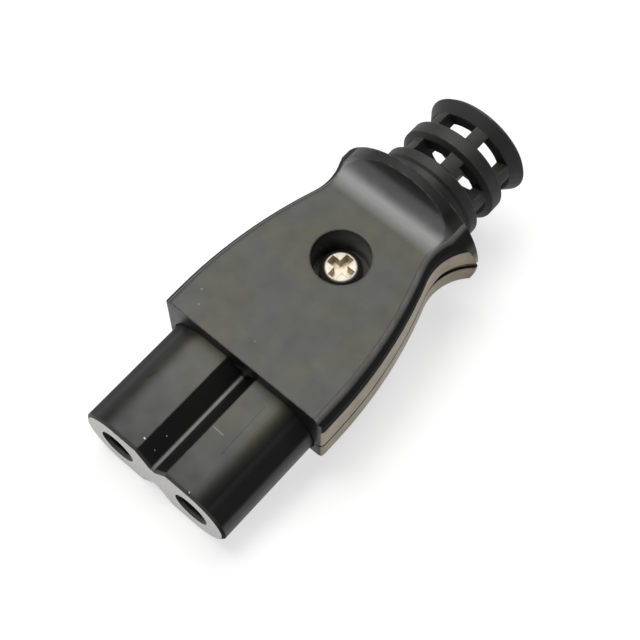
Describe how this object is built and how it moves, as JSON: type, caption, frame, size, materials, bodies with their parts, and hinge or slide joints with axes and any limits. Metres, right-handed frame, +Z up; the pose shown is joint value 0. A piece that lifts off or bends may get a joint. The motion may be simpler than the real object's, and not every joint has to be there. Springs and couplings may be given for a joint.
{
  "type": "figure eight power connector",
  "caption": "Rewireable figure-eight appliance connector: keyed nose with round sockets, two-part screwed casing with a flared collar, and a windowed cord boot.",
  "frame": {"origin": "middle of the nose's mating face", "axes": "+Y from the nose to the cord end, +Z up out of the upper cover, +X across the two sockets; the covers part at z = 0"},
  "size_m": [0.018, 0.0441, 0.0162],
  "materials": {
    "casing": "fine matte moulded black thermoset",
    "nose": "fine matte moulded black thermoset",
    "boot": "satin black flexible plastic",
    "contact_brass": "plain rolled brass",
    "plated_steel": "zinc-plated",
    "case_screw": "bright plated, with a warm tint in the recess"
  },
  "bodies": {
    "root": {"upper_cover": "casing", "lower_cover": "casing", "nose_block": "nose", "cord_boot": "boot", "left_contact": "contact_brass", "right_contact": "contact_brass", "left_terminal_washer": "plated_steel", "right_terminal_washer": "plated_steel", "left_terminal_screw": "plated_steel", "right_terminal_screw": "plated_steel", "case_screw": "case_screw", "case_nut": "plated_steel"}
  },
  "joints": []
}
